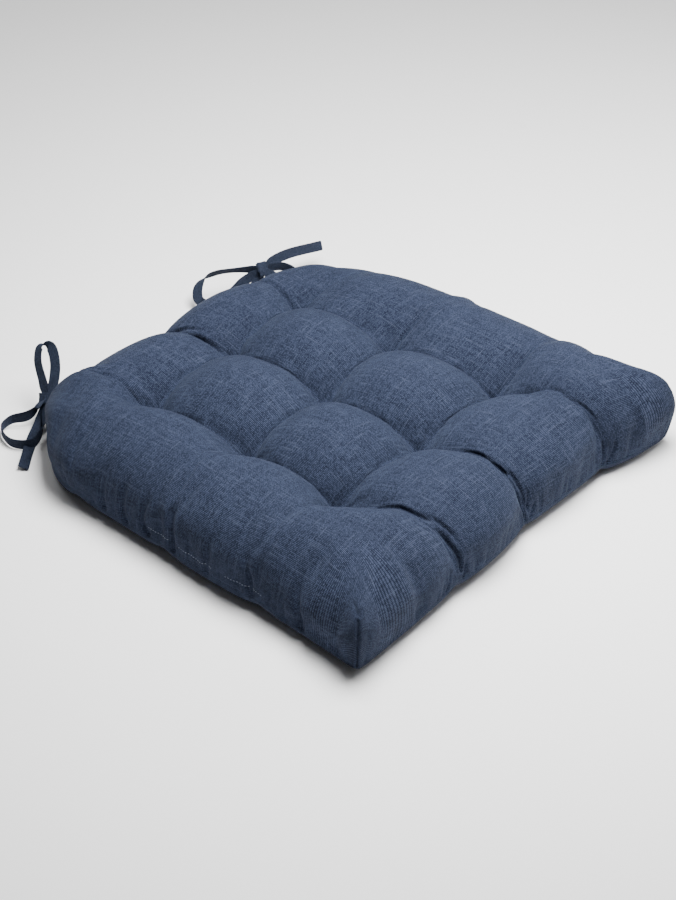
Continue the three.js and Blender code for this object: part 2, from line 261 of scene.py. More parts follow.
def makeCloth(name, cloth):
    finish, tree, surface = newFinish(name)
    surface.inputs["Roughness"].default_value = cloth["roughness"]
    surface.inputs["Sheen Weight"].default_value = cloth["sheen"]
    surface.inputs["Sheen Roughness"].default_value = bothCloths["sheenRoughness"]
    surface.inputs["Sheen Tint"].default_value = bothCloths["sheenTint"]
    surface.inputs["Specular IOR Level"].default_value = bothCloths["specular"]
    place = addNode(tree, "ShaderNodeUVMap", uv_map="cloth")
    threads = addNode(tree, "ShaderNodeGroup", node_tree=weave)
    tree.links.new(place.outputs[0], threads.inputs["Place"])
    threads.inputs["Pitch"].default_value = cloth["pitch"]
    threads.inputs["Slub length"].default_value = cloth["slubLength"]
    patches = addNode(tree, "ShaderNodeTexNoise", {
        "Vector": place.outputs[0], "Scale": bothCloths["patchScale"], "Detail": 2.0,
    })
    tone = calc(tree, "MULTIPLY_ADD", patches.outputs[0], bothCloths["patchShare"], bothCloths["lightStart"])
    tone = calc(tree, "MULTIPLY_ADD", threads.outputs["Tone"], bothCloths["toneShare"], tone)
    # painted shade: the colour darkens where the yarns dip low between crossings
    tone = calc(tree, "MULTIPLY_ADD", threads.outputs["Height"], bothCloths["paintedGapShade"], tone)
    ramp = addNode(tree, "ShaderNodeValToRGB", {"Fac": tone})
    stops = ramp.color_ramp.elements
    atShade, atMiddle, atLight = bothCloths["stops"]
    stops[0].position, stops[0].color = atShade, cloth["shade"]
    stops[1].position, stops[1].color = atLight, cloth["light"]
    halfway = stops.new(atMiddle)
    halfway.color = cloth["middle"]
    slubs = addNode(tree, "ShaderNodeMix", {
        0: calc(tree, "MULTIPLY", threads.outputs["Slub"], cloth["slubShare"]),
        6: ramp.outputs[0],
        7: cloth["slubColour"],
    }, data_type="RGBA")
    tree.links.new(slubs.outputs[2], surface.inputs["Base Color"])
    bump = addNode(tree, "ShaderNodeBump", {
        "Height": threads.outputs["Height"], "Distance": cloth["weaveDepth"], "Strength": bothCloths["bump"],
    })
    tree.links.new(bump.outputs[0], surface.inputs["Normal"])
    return finish


# The cushion: the part's panels on a finer grid, fitted closer to the photo
cushion = {
    "tuftHeight": 31,
    "saddleHeight": 57,  # of a furrow halfway between two tufts
    # how far out the furrows that run to a side have their full height there
    "saddleBy": {"left": 0.4, "right": 0.5, "front": 0.6, "back": 0.45},
    "roomToSwell": 4.5,  # the crowns start this much lower, and the filling raises them
    "undersideTuftHeight": 20,
    "undersideValleyHeight": 5,
    "puffFullness": 0.78,
    # how far out each side's roll is highest
    "crestAt": {"left": 0.58, "right": 0.72, "front": 0.5, "back": 0.62, "corner": 0.5},
    "crestTurn": 0.6,  # how far along its last puff a roll has turned to the corner
    # how round the bottom of a furrow is: at a tuft, halfway to the next, and on its way out
    "furrowRound": {"tuft": 0.08, "halfway": 0.7, "left": 2.0, "right": 2.4, "front": 0.35, "back": 0.7},
    "furrowTurn": 0.25,
    "wellRound": 0.08,
    # how soon a furrow rises from its tuft towards each side, and between tufts
    "valleyFullness": {"left": 0.6, "right": 0.32, "front": 0.75, "back": 0.62, "": 0.75},
    "sideBulge": 7.5,
    "undersideRollStart": 0.87,
    "undersideFlatness": 0.55,
    "puffPitch": 125,
    "seamLevel": 20,
    "steps": 26,  # of the grid, to a puff
    "smoothing": 2,
    "panelsApart": 900,  # on the cloth, where both panels are cut side by side
    # where the thread draws the panels together, front row first
    "tufts": [
        [(-119, -110), (6, -111), (131, -112)],
        [(-118, 10), (6, 16), (122, 26)],
        [(-126, 137), (3, 148), (114, 153)],
    ],
    # the seam from the front left corner round to the right: a place, how far the stretch after it
    # curves out, how high the furrow stands that meets it, and how sharply it draws the wall in
    "seam": [
        (-250.5, -251, 9, 2, 0, 0),
        (-100, -248, 19, 5, 72, 0.9),
        (16, -240, 19, 1, 70, 1),
        (144, -242, 18, 6, 79, 0.9),
        (241, -255, 9, 0, 0, 0),
        (245, -118, 19, 3, 84, 0.1),
        (242, 6, 20, 3, 84, 0.2),
        (231, 109, 20, 12, 72, 0.2),
        (182, 189, 20, 12, 0, 0),
        (110, 224, 20, 8, 68, 0.8),
        (-28, 233, 20, 1, 59, 0.8),
        (-163, 234, 20, 9, 86, 0.4),
        (-213, 200, 20, 9, 0, 0),
        (-248, 129, 20, 0, 84, 0),
        (-250, 2, 20, 3, 85, 0),
        (-249, -124, 19, 0, 85, 0.1),
    ],
    "crowns": [[87, 87, 87, 100], [88, 88, 88, 85], [88, 88, 88, 82], [83, 81, 80, 69]],
    # column and row of each corner puff: how square its walls turn, how far its crown falls
    "corners": {(0, 0): (9, 11), (3, 0): (9, 38), (0, 3): (2.4, 20), (3, 3): (2.4, 6)},
    "roundCorner": 2,
    "squareBetween": (0.4, 0.95),  # where along a wall it turns from round to square
}
puffs = 4
seam = [dict(zip(("x", "y", "z", "bow", "saddle", "pinch"), row)) for row in cushion["seam"]]


def mix(a, b, t):
    return a + (b - a) * t


def smoothBetween(value, low, high):
    t = np.clip((value - low) / (high - low), 0, 1)
    return t * t * (3 - 2 * t)


def seamPoint(i, t):
    start, end = seam[i], seam[(i + 1) % len(seam)]
    along = np.array([end[k] - start[k] for k in "xyz"], float)
    out = np.array([along[1], -along[0], 0]) / math.hypot(along[0], along[1])
    origin = np.array([start[k] for k in "xyz"], float)
    t = np.asarray(t, float)[..., None]
    return origin + along * t + out * start["bow"] * 4 * t * (1 - t)


def seamIndex(column, row):
    if row == 0:
        return column
    if column == puffs:
        return puffs + row
    if row == puffs:
        return 3 * puffs - column
    return 4 * puffs - row if column == 0 else -1


def crossing(column, row):
    onSeam = seamIndex(column, row)
    if onSeam >= 0:
        return seamPoint(onSeam, 0.0)
    return np.array([*cushion["tufts"][row - 1][column - 1], cushion["seamLevel"]], float)


def furrowPoint(column, row, direction, t):
    if direction == "right":
        if row == 0:
            return seamPoint(column, t)
        if row == puffs:
            return seamPoint(3 * puffs - 1 - column, 1 - t)
        return mix(crossing(column, row), crossing(column + 1, row), t[..., None])
    if column == puffs:
        return seamPoint(puffs + row, t)
    if column == 0:
        return seamPoint(4 * puffs - 1 - row, 1 - t)
    return mix(crossing(column, row), crossing(column, row + 1), t[..., None])


def planPoint(column, row, s, t):
    # a place inside a puff, seen from above
    front, back = furrowPoint(column, row, "right", s), furrowPoint(column, row + 1, "right", s)
    left, right = furrowPoint(column, row, "back", t), furrowPoint(column + 1, row, "back", t)
    s3, t3 = s[..., None], t[..., None]
    near = mix(crossing(column, row), crossing(column + 1, row), s3)
    far = mix(crossing(column, row + 1), crossing(column + 1, row + 1), s3)
    return mix(front, back, t3) + mix(left, right, s3) - mix(near, far, t3)


def softly(rise, rounding):
    # rises from nothing with a round start
    return (np.hypot(rise, rounding) - rounding) / (np.hypot(1, rounding) - rounding)


def crestReach(side, even, otherSide):
    # where a side's roll is highest, nearer the tufts towards a corner
    reach = cushion["crestAt"].get(side, 0.5) + 0 * even
    if not otherSide:
        return reach
    outward = 1 - even if otherSide in ("left", "front") else even
    return mix(reach, cushion["crestAt"]["corner"], smoothBetween(outward, 0, cushion["crestTurn"]))


def acrossPuff(even, side, reach, squareness=cushion["roundCorner"]):
    # one direction across a puff: where a grid line lies, how far the cover has risen there,
    # and how much of its height is left on a wall
    outward = 1 - even if side in ("left", "front") else even
    rising = outward < 0.5 if side else np.ones(even.shape, bool)
    if side:
        rise = np.sin(np.pi / 2 * np.minimum(1, outward / reach))
    else:
        rise = np.sin(np.pi * outward).clip(0)
    turn = np.pi * (outward - 0.5)
    easy = mix(outward, (1 - np.cos(np.pi * outward)) / 2, 0.5)
    square = 0.5 + 0.5 * np.sin(turn).clip(0) ** (2 / squareness)
    place = np.where(rising, easy, square)
    fall = np.where(outward > 0.9999, 0, np.cos(turn).clip(0) ** (2 / squareness))
    return {
        "place": 1 - place if side in ("left", "front") else place,
        "rise": rise,
        "lift": softly(rise, cushion["wellRound"]) ** cushion["valleyFullness"][side or ""],
        "out": place if side else 0 * place,
        "even": outward if side else 0 * outward,
        "height": np.where(rising, 1.0, fall),
    }


def swellOver(way, other, otherSide):
    # how far the puff has risen from the furrow beside it, given where that is along the furrow
    rounds = cushion["furrowRound"]
    rounding = mix(rounds["tuft"], rounds["halfway"], other["rise"])
    if otherSide:
        rounding = mix(rounding, rounds[otherSide], smoothBetween(other["out"], 0, cushion["furrowTurn"]))
    return softly(way["rise"] ** cushion["puffFullness"], rounding)


def panelGrid(panel, column, row):
    # one puff of the top or bottom panel, as a grid of points
    c = cushion
    line = np.linspace(0, 1, c["steps"] + 1)
    s0, t0 = np.meshgrid(line, line, indexing="ij")
    sideways = {0: "left", 3: "right"}.get(column)
    lengthways = {0: "front", 3: "back"}.get(row)
    reachS, reachT = crestReach(sideways, t0, lengthways), crestReach(lengthways, s0, sideways)
    s, t = acrossPuff(s0, sideways, reachS), acrossPuff(t0, lengthways, reachT)
    squareness, drop = c["corners"].get((column, row), (0, 0))
    if squareness:
        squareS = mix(c["roundCorner"], squareness, smoothBetween(t["even"], *c["squareBetween"]))
        squareT = mix(c["roundCorner"], squareness, smoothBetween(s["even"], *c["squareBetween"]))
        s, t = acrossPuff(s0, sideways, reachS, squareS), acrossPuff(t0, lengthways, reachT, squareT)
    swellS, swellT = swellOver(s, t, lengthways), swellOver(t, s, sideways)
    swell = swellS * swellT
    lift = s["lift"] + t["lift"] - s["lift"] * t["lift"]
    if panel == "bottom":
        flat = 1.0
        for way in (s, t):
            past = np.clip((way["out"] - c["undersideRollStart"]) / (1 - c["undersideRollStart"]), 0, 1)
            flat = flat * np.sqrt(1 - past * past)
        furrow = mix(c["undersideTuftHeight"], c["undersideValleyHeight"], lift)
        hollow = furrow * (1 - swell / c["undersideFlatness"]).clip(0)
        plan = planPoint(column, row, s["place"], t["place"])
        plan[..., 2] = mix(plan[..., 2], hollow, flat)
        return plan

    edgeColumn, edgeRow = (0 if sideways == "left" else puffs), (0 if lengthways == "front" else puffs)
    rowEnds = [seam[seamIndex(edgeColumn, row + k)] for k in (0, 1)]
    columnEnds = [seam[seamIndex(column + k, edgeRow)] for k in (0, 1)]

    def onSide(key, side, ends, place):
        if not side:
            return 0.0
        if squareness:
            return float(ends[0][key] or ends[1][key])
        return mix(ends[0][key], ends[1][key], place)

    saddle = c["saddleHeight"] + np.zeros(s0.shape)
    for side, way, ends, other in ((sideways, s, rowEnds, t), (lengthways, t, columnEnds, s)):
        if side:
            raised = onSide("saddle", side, ends, other["place"]) - c["saddleHeight"]
            saddle = saddle + raised * smoothBetween(way["out"], 0, c["saddleBy"][side])
    cornerness = (s["even"] * t["even"]) ** 2 if squareness else 0.0
    crown = c["crowns"][row][column] - c["roomToSwell"]
    cap = mix(c["tuftHeight"], saddle, lift) + (crown - saddle) * swell - drop * cornerness
    height = s["height"] * t["height"]
    bulge = (1 - height * height) ** 3 * height * height * (4 ** 4 / 3 ** 3)  # greatest halfway up the wall
    bulge = bulge * c["sideBulge"] * (1 - cornerness / 2 * (lengthways == "front")) / c["puffPitch"]
    steepS, steepT = 1 - s["height"] ** 2, 1 - t["height"] ** 2
    steep = np.where(steepS + steepT > 0, steepS + steepT, 1)
    pinchS = onSide("pinch", sideways, rowEnds, t["place"]) * (1 - swellT)
    pinchT = onSide("pinch", lengthways, columnEnds, s["place"]) * (1 - swellS)
    pushS = bulge * (1 - pinchS) * steepS / steep * (-1 if sideways == "left" else 1)
    pushT = bulge * (1 - pinchT) * steepT / steep * (-1 if lengthways == "front" else 1)
    plan = planPoint(column, row, s["place"] + pushS, t["place"] + pushT)
    plan[..., 2] = mix(plan[..., 2], cap, height)
    return plan


def wholePanel(panel):
    n = cushion["steps"]
    grid = np.zeros((puffs * n + 1, puffs * n + 1, 3))
    for column in range(puffs):
        for row in range(puffs):
            grid[column * n:(column + 1) * n + 1, row * n:(row + 1) * n + 1] = panelGrid(panel, column, row)
    return (grid - middle) * mm


def quadsOf(grid, turnOver):
    # the four corners of each face of a grid
    corners = [grid[:-1, :-1], grid[1:, :-1], grid[1:, 1:], grid[:-1, 1:]]
    quads = np.stack(corners, axis=2).reshape(-1, 4, *grid.shape[2:])
    return quads[:, ::-1] if turnOver else quads


def joinPanels(top, bottom):
    # vertex numbers of both panels, which share the seam
    size = top.shape[0]
    topIndex = np.arange(size * size).reshape(size, size)
    bottomIndex = topIndex.copy()
    inner = (size - 2) * (size - 2)
    bottomIndex[1:-1, 1:-1] = size * size + np.arange(inner).reshape(size - 2, size - 2)
    points = np.vstack([top.reshape(-1, 3), bottom[1:-1, 1:-1].reshape(-1, 3)])
    faces = np.vstack([quadsOf(topIndex, False), quadsOf(bottomIndex, True)])
    return points, faces, topIndex, bottomIndex


def newMesh(name, points, faces):
    mesh = bpy.data.meshes.new(name)
    mesh.from_pydata([tuple(p) for p in points], [], [tuple(map(int, f)) for f in faces])
    mesh.update()
    return newPiece(name, mesh)


def makeActive(piece):
    bpy.ops.object.select_all(action="DESELECT")
    piece.select_set(True)
    bpy.context.view_layer.objects.active = piece


def subdivideSmoothly(piece, levels):
    smoother = piece.modifiers.new("smoother", "SUBSURF")
    smoother.levels = smoother.render_levels = levels
    bpy.ops.object.modifier_apply(modifier=smoother.name)
    bpy.ops.object.shade_smooth()


def coordinates(mesh):
    flat = np.zeros(len(mesh.vertices) * 3)
    mesh.vertices.foreach_get("co", flat)
    return flat.reshape(-1, 3)


def setCoordinates(mesh, points):
    mesh.vertices.foreach_set("co", np.asarray(points, float).ravel())
    mesh.update()


def surfaceOf(mesh):
    corners = [tuple(v) for v in coordinates(mesh)]
    return BVHTree.FromPolygons(corners, [tuple(face.vertices) for face in mesh.polygons])


def lengthAlong(line):
    return np.concatenate([[0], np.cumsum(np.linalg.norm(np.diff(line, axis=0), axis=1))])


def throughRows(values, step):
    # a smooth line through the rows, evenly stepped along its length
    values = np.asarray(values, float)
    padded = np.vstack([2 * values[0] - values[1], values, 2 * values[-1] - values[-2]])
    gaps = np.sqrt(np.linalg.norm(np.diff(padded[:, :3], axis=0), axis=1))
    knots = np.concatenate([[0], np.cumsum(gaps)])
    fine = []
    for k in range(1, len(padded) - 2):
        t0, t1, t2, t3 = knots[k - 1:k + 3]
        for t in np.linspace(t1, t2, 24, endpoint=k == len(padded) - 3):
            a1 = mix(padded[k - 1], padded[k], (t - t0) / (t1 - t0))
            a2 = mix(padded[k], padded[k + 1], (t - t1) / (t2 - t1))
            a3 = mix(padded[k + 1], padded[k + 2], (t - t2) / (t3 - t2))
            b1, b2 = mix(a1, a2, (t - t0) / (t2 - t0)), mix(a2, a3, (t - t1) / (t3 - t1))
            fine.append(mix(b1, b2, (t - t1) / (t2 - t1)))
    fine = np.array(fine)
    run = lengthAlong(fine[:, :3])
    even = np.linspace(0, run[-1], int(run[-1] / step) + 2)
    return np.stack([np.interp(even, run, column) for column in fine.T], axis=1), even


def unit(vectors):
    return vectors / np.maximum(np.linalg.norm(vectors, axis=-1, keepdims=True), 1e-9)


# Folds in the cover: depth, width, how much of each end dies out, and a path over the top panel,
# in puffs from the front left corner, across and back
folds = {
    "pinchOneMain": (3.2, 2.0, (0.3, 0.3), [(0.98, 0.68), (1.04, 0.6), (1.04, 0.5),
                                            (1.05, 0.42), (1.08, 0.35), (1.11, 0.3)]),
    "pinchOneSecond": (2.6, 1.8, (0.4, 0.4), [(1.12, 0.4), (1.13, 0.32), (1.15, 0.26), (1.15, 0.19)]),
    "pinchOneSoft": (1.3, 2.6, (0.4, 0.4), [(0.82, 0.43), (0.86, 0.38), (0.92, 0.32), (1.0, 0.26)]),
    "pinchOneLow": (3.4, 1.9, (0.3, 0.1), [(1.04, 0.32), (1.07, 0.21), (1.08, 0.12), (1.06, 0.03)]),
    "pinchOneBeyond": (1.8, 1.7, (0.5, 0), [(1.16, 0.14), (1.14, 0.07), (1.1, 0.0)]),
    "pinchOneFoot": (2.0, 1.9, (0.5, 0), [(0.88, 0.12), (0.87, 0.06), (0.82, 0.0)]),
    "pinchTwoMain": (3.6, 2.0, (0.35, 0), [(2.03, 0.66), (2.02, 0.5), (2.0, 0.36),
                                           (1.98, 0.22), (1.98, 0.1), (1.98, 0.0)]),
    "pinchTwoSecond": (3.0, 1.7, (0.4, 0.2), [(2.08, 0.36), (2.07, 0.26), (2.05, 0.16), (2.02, 0.06)]),
    "pinchTwoThird": (2.4, 1.7, (0.5, 0.2), [(2.13, 0.2), (2.1, 0.12), (2.05, 0.04)]),
    "pinchTwoFoot": (1.8, 1.7, (0.5, 0), [(2.18, 0.1), (2.14, 0.04), (2.09, 0.0)]),
    "pinchTwoSoft": (1.1, 2.8, (0.4, 0.4), [(1.86, 0.48), (1.84, 0.4), (1.84, 0.32)]),
    "pinchThreeMain": (2.8, 1.9, (0.4, 0.4), [(3.04, 0.4), (3.06, 0.32), (3.07, 0.26), (3.08, 0.2)]),
    "pinchThreeBeside": (1.0, 2.0, (0.4, 0.4), [(3.13, 0.31), (3.12, 0.25), (3.11, 0.19)]),
    "pinchThreeSoft": (1.1, 2.4, (0.4, 0.3), [(2.94, 0.3), (2.96, 0.21), (2.93, 0.14), (2.9, 0.05)]),
    "pinchThreeLow": (3.0, 1.7, (0.4, 0), [(3.04, 0.16), (3.02, 0.09), (2.99, 0.03), (2.96, 0.0)]),
    "pinchThreeFar": (2.1, 1.7, (0.4, 0), [(3.2, 0.15), (3.18, 0.08), (3.14, 0.03), (3.08, 0.0)]),
    "pinchThreeBetween": (1.0, 1.6, (0.5, 0), [(3.13, 0.15), (3.11, 0.07), (3.06, 0.0)]),
    "leftHigh": (2.4, 5.0, (0.5, 0.4), [(0.42, 1.79), (0.3, 1.79), (0.2, 1.8)]),
    "leftDeep": (4.5, 4.2, (0.5, 0), [(0.28, 1.86), (0.19, 1.87), (0.1, 1.85), (0.0, 1.83)]),
    "leftBack": (4.0, 4.0, (0.5, 0), [(0.24, 2.21), (0.12, 2.27), (0.05, 2.27), (0.0, 2.22)]),
    "leftMiddle": (2.2, 4.6, (0.5, 0.1), [(0.22, 2.06), (0.14, 2.07), (0.05, 2.06)]),
    "leftThird": (3.6, 4.0, (0.5, 0), [(0.26, 2.43), (0.15, 2.45), (0.06, 2.45), (0.0, 2.43)]),
    "leftFourth": (3.0, 3.6, (0.5, 0), [(0.17, 2.61), (0.08, 2.62), (0.0, 2.62)]),
    "leftFront": (2.0, 6.0, (0.5, 0.4), [(0.44, 1.33), (0.3, 1.28), (0.2, 1.29)]),
    "leftLow": (2.8, 4.0, (0.6, 0), [(0.25, 1.49), (0.14, 1.49), (0.0, 1.5)]),
    "leftLower": (3.2, 3.8, (0.6, 0), [(0.26, 1.21), (0.17, 1.18), (0.08, 1.12), (0.0, 1.1)]),
    "leftNear": (3.4, 3.8, (0.5, 0), [(0.27, 0.63), (0.18, 0.61), (0.1, 0.57), (0.0, 0.55)]),
    "leftNearer": (2.2, 4.4, (0.5, 0), [(0.2, 0.75), (0.1, 0.7), (0.0, 0.68)]),
    "backLeft": (2.4, 2.6, (0.3, 0), [(1.0, 3.1), (1.02, 3.4), (1.02, 3.7), (1.0, 4.0)]),
    "backLeftTuck": (1.8, 2.2, (0.4, 0.2), [(0.9, 3.5), (0.93, 3.66), (0.98, 3.86)]),
    "backLeftSecond": (1.8, 2.2, (0.4, 0.2), [(1.1, 3.46), (1.09, 3.66), (1.04, 3.86)]),
    "backMiddle": (3.4, 2.4, (0.3, 0), [(2.0, 3.1), (2.0, 3.4), (2.0, 3.7), (2.0, 4.0)]),
    "backMiddleTuck": (2.4, 2.2, (0.4, 0.2), [(1.86, 3.44), (1.9, 3.6), (1.97, 3.86)]),
    "backMiddleSecond": (2.4, 2.2, (0.4, 0.2), [(2.12, 3.4), (2.1, 3.6), (2.04, 3.86)]),
    "backRight": (2.4, 2.6, (0.3, 0), [(3.0, 3.1), (3.0, 3.4), (3.0, 3.7), (3.0, 4.0)]),
    "frontLeftDart": (2.6, 1.7, (0.2, 0), [(0.25, 0.27), (0.18, 0.19), (0.1, 0.11), (0.0, 0.0)]),
    "frontRightDart": (2.6, 1.7, (0.2, 0), [(3.75, 0.27), (3.82, 0.19), (3.9, 0.11), (4.0, 0.0)]),
    "dartTuck": (1.6, 2.4, (0.5, 0.2), [(0.28, 0.42), (0.26, 0.35), (0.23, 0.26)]),
    "dartOtherTuck": (1.3, 2.2, (0.5, 0.2), [(0.36, 0.26), (0.31, 0.26), (0.24, 0.23)]),
}
gathers = {
    "seed": 7, "first": 9.0, "last": 5, "spacing": (8, 22), "reach": (0.05, 0.2), "lean": 0.25,
    "depth": (0.3, 1.1), "width": (2.0, 3.6), "fade": (0.7, 0),
}
tuftCreases = {
    "seed": 11, "count": 6, "uneven": 0.3, "start": 0.05, "length": (0.16, 0.32),
    "depth": (0.4, 1.2), "width": (2.0, 3.4), "fade": (0.3, 0.6),
}
seamGroove = {"depth": 0.4, "width": 1.6}
creases = {
    "lineStep": 0.008,  # between the places of a line, in puffs
    "lip": 0.12,  # how high the cover swells beside a crease, and how many widths out
    "lipAt": 1.9,
    "reach": 4,  # how many widths off a crease the cover is looked at
    "onlyWithin": (2.5, 5),  # how many widths above or below it that dies out
    "facing": 0.5,
}

shaped = {}  # the filled top panel's grid, and the cover's surface to lay folds on


def gridAt(spots):
    # places on the top panel, given in puffs
    grid = shaped["grid"]
    spots = np.clip(np.asarray(spots) * cushion["steps"], 0, grid.shape[0] - 1 - 1e-6)
    low = spots.astype(int)
    f = (spots - low)[:, :, None]
    i, j = low.T
    near = mix(grid[i, j], grid[i + 1, j], f[:, 0])
    return mix(near, mix(grid[i, j + 1], grid[i + 1, j + 1], f[:, 0]), f[:, 1])


def evened(values, reach=3):
    padded = np.vstack([values[:1]] * reach + [values] + [values[-1:]] * reach)
    return sum(padded[k:k + len(values)] for k in range(2 * reach + 1)) / (2 * reach + 1)


def onCover(path):
    # an even line over the cover through places given in puffs, and the way out of the cover along it
    line, run = throughRows([(p, q, 0) for p, q in path], creases["lineStep"])
    found = [shaped["surface"].find_nearest(Vector(place)) for place in gridAt(line[:, :2])]
    return evened(np.array([hit[0] for hit in found]), 1), unit(evened(np.array([hit[1] for hit in found])))


def carve(points, normals, path, depth, width, fade, lip=creases["lip"], places=None, up=None):
    # one crease: the cover dips along the line and swells a little beside it
    if places is None:
        places, up = onCover(path)
    depth, width = depth * mm, width * mm
    reach = width * creases["reach"]
    tangent = unit(np.gradient(places, axis=0))
    low, high = places.min(0) - reach, places.max(0) + reach
    near = np.nonzero(((points > low) & (points < high)).all(1))[0]
    if not len(near):
        return
    nearest = np.zeros(len(near), int)
    best = np.full(len(near), 1e9)
    for k, place in enumerate(places):
        away = ((points[near] - place) ** 2).sum(1)
        closer = away < best
        nearest[closer], best[closer] = k, away[closer]
    across = unit(np.cross(tangent, up))
    offset = points[near] - places[nearest]
    side = (offset * across[nearest]).sum(1)
    rise = (offset * up[nearest]).sum(1)
    beyond = np.abs((offset * tangent[nearest]).sum(1))
    faces = (normals[near] * up[nearest]).sum(1)
    run = nearest / max(1, len(places) - 1)
    strength = np.ones(len(near))
    if fade[0]:
        strength = strength * smoothBetween(run, 0, fade[0])
    if fade[1]:
        strength = strength * (1 - smoothBetween(run, 1 - fade[1], 1))
    inner, outer = creases["onlyWithin"]
    strength = strength * smoothBetween(faces, 0, creases["facing"])
    strength = strength * (1 - smoothBetween(np.abs(rise), inner * width, outer * width))
    strength = strength * np.exp(-(beyond / width) ** 2)
    dip = np.exp(-(side / width) ** 2)
    swell = np.exp(-((np.abs(side) - creases["lipAt"] * width) / width) ** 2)
    way = unit(normals[near] + up[nearest])
    points[near] += way * (strength * depth * (lip * swell - dip))[:, None]


def seamLine(step=0.02):
    # once round the seam, in puffs
    along = np.arange(0, puffs, step)
    still = np.zeros(len(along))
    return np.vstack([
        np.stack([along, still], 1), np.stack([still + puffs, along], 1),
        np.stack([puffs - along, still + puffs], 1), np.stack([still, puffs - along], 1),
    ])


def outwardAlong(ring):
    # level direction out of the cushion along a closed line
    tangent = unit(np.roll(ring, -1, axis=0) - np.roll(ring, 1, axis=0))
    return unit(np.stack([tangent[:, 1], -tangent[:, 0], 0 * tangent[:, 0]], axis=1))


def creaseTufts(points, normals):
    # small creases that run out from each tuft
    t = tuftCreases
    chance = np.random.default_rng(t["seed"])
    for column in range(1, puffs):
        for row in range(1, puffs):
            turn = chance.uniform(0, math.pi)
            for k in range(t["count"]):
                angle = turn + (k + chance.uniform(-t["uneven"], t["uneven"])) * 2 * math.pi / t["count"]
                length, depth, width = (chance.uniform(*t[key]) for key in ("length", "depth", "width"))
                way = np.array([math.cos(angle), math.sin(angle)])
                start = np.array([column, row])
                path = [start + way * t["start"], start + way * length * 0.5, start + way * length]
                carve(points, normals, path, depth, width, t["fade"])


def gatherSeam(points, normals, ring, ringPlaces):
    # small gathers all round, where the seam has drawn the cover in
    g = gathers
    chance = np.random.default_rng(g["seed"])
    run = lengthAlong(ringPlaces) / mm
    spot = g["first"]
    while spot < run[-1] - g["last"]:
        start = ring[np.searchsorted(run, spot)]
        inward = np.where(start < 0.001, 1.0, np.where(start > puffs - 0.001, -1.0, 0.0))
        reach, depth, width = (chance.uniform(*g[key]) for key in ("reach", "depth", "width"))
        lean = chance.uniform(-g["lean"], g["lean"]) * inward[::-1]
        path = [np.clip(start + (inward + lean) * reach * t, 0, puffs) for t in (1.0, 0.6, 0.3, 0.0)]
        carve(points, normals, path, depth, width, g["fade"])
        spot += chance.uniform(*g["spacing"])


def shapeCover(mesh):
    points = coordinates(mesh)
    shaped["surface"] = surfaceOf(mesh)
    flatNormals = np.zeros(len(mesh.vertices) * 3)
    mesh.vertex_normals.foreach_get("vector", flatNormals)
    normals = flatNormals.reshape(-1, 3)
    for depth, width, fade, path in folds.values():
        carve(points, normals, path, depth, width, fade)
    creaseTufts(points, normals)
    ring = seamLine()
    ringPlaces = gridAt(ring)
    gatherSeam(points, normals, ring, ringPlaces)
    out = outwardAlong(ringPlaces)
    carve(points, normals, None, seamGroove["depth"], seamGroove["width"], (0, 0), 0, ringPlaces, out)
    points[:, 2] = np.maximum(points[:, 2], 0)
    setCoordinates(mesh, points)


filling = {
    "frames": 20,
    "pressure": 2.6,
    "quality": 6,
    "tension": 15,
    "shear": 4,
    "bending": 0.08,
    "ease": -0.03,  # the cover is cut this much larger than it lies
    "cap": 0.008,
}


def inflate(piece, held):
    # the cover is blown up by its filling while the thread and the seam hold it
    start = coordinates(piece.data)
    group = piece.vertex_groups.new(name="held")
    for weight in np.unique(held):
        if weight > 0:
            group.add([int(i) for i in np.nonzero(held == weight)[0]], float(weight), "REPLACE")
    cloth = piece.modifiers.new("filling", "CLOTH")
    setup = cloth.settings
    setup.quality = filling["quality"]
    setup.tension_stiffness = setup.compression_stiffness = filling["tension"]
    setup.shear_stiffness = filling["shear"]
    setup.bending_stiffness = filling["bending"]
    setup.use_pressure = True
    setup.uniform_pressure_force = filling["pressure"]
    setup.vertex_group_mass = "held"
    setup.shrink_min = filling["ease"]
    setup.effector_weights.gravity = 0
    cloth.collision_settings.use_collision = False
    cloth.point_cache.frame_start, cloth.point_cache.frame_end = 1, filling["frames"]
    for number in range(1, filling["frames"] + 1):
        bpy.context.scene.frame_set(number)
    ready = piece.evaluated_get(bpy.context.evaluated_depsgraph_get())
    moved = coordinates(ready.data) - start
    bpy.context.scene.frame_set(1)
    piece.modifiers.remove(cloth)
    piece.vertex_groups.remove(group)
    far = np.linalg.norm(moved, axis=1, keepdims=True)
    report(f"filling moved the cover {far.mean() * 1000:.1f} mm, at most {far.max() * 1000:.1f} mm")
    cap = filling["cap"]
    return start + moved * (cap * np.tanh(far / cap) / np.maximum(far, 1e-9))


def threadPlaces(grid):
    # where each thread of the cloth lies: they stay straight, as far apart as the cover is long on average
    half = grid.shape[0] // 2
    stepU = np.linalg.norm(np.diff(grid, axis=0), axis=2).mean(axis=1)
    stepV = np.linalg.norm(np.diff(grid, axis=1), axis=2).mean(axis=0)
    u, v = np.concatenate([[0], np.cumsum(stepU)]), np.concatenate([[0], np.cumsum(stepV)])
    return np.stack(np.meshgrid(u - u[half], v - v[half], indexing="ij"), axis=-1)


